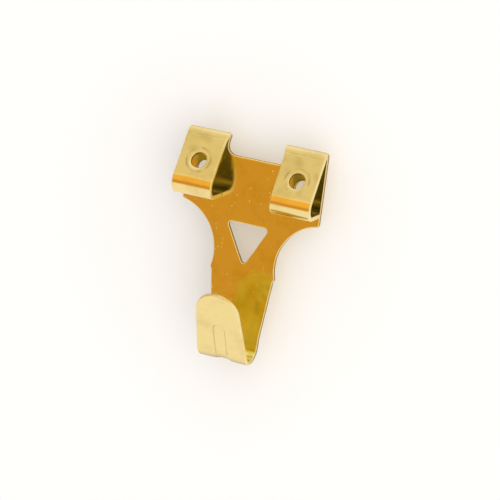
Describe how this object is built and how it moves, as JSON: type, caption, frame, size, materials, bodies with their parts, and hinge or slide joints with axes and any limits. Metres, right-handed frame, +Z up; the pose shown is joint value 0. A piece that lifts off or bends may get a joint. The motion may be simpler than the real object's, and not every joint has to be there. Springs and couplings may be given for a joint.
{
  "type": "picture hook",
  "caption": "Folded brass picture hook: flat wall plate with looped ears that guide slanted nails, a three-sided window, a tapering shank and an upturned, ribbed lip for a picture wire.",
  "frame": {"origin": "on the back face of the plate, in its middle plane, at the height where the nails enter the wall", "axes": "+X to the right seen from the front, +Y into the wall, +Z up"},
  "size_m": [0.023, 0.0101, 0.0349],
  "materials": {
    "brass_sheet": "polished sheet, warm on the inner side"
  },
  "bodies": {
    "root": {"picture_hook": "brass_sheet"}
  },
  "joints": []
}
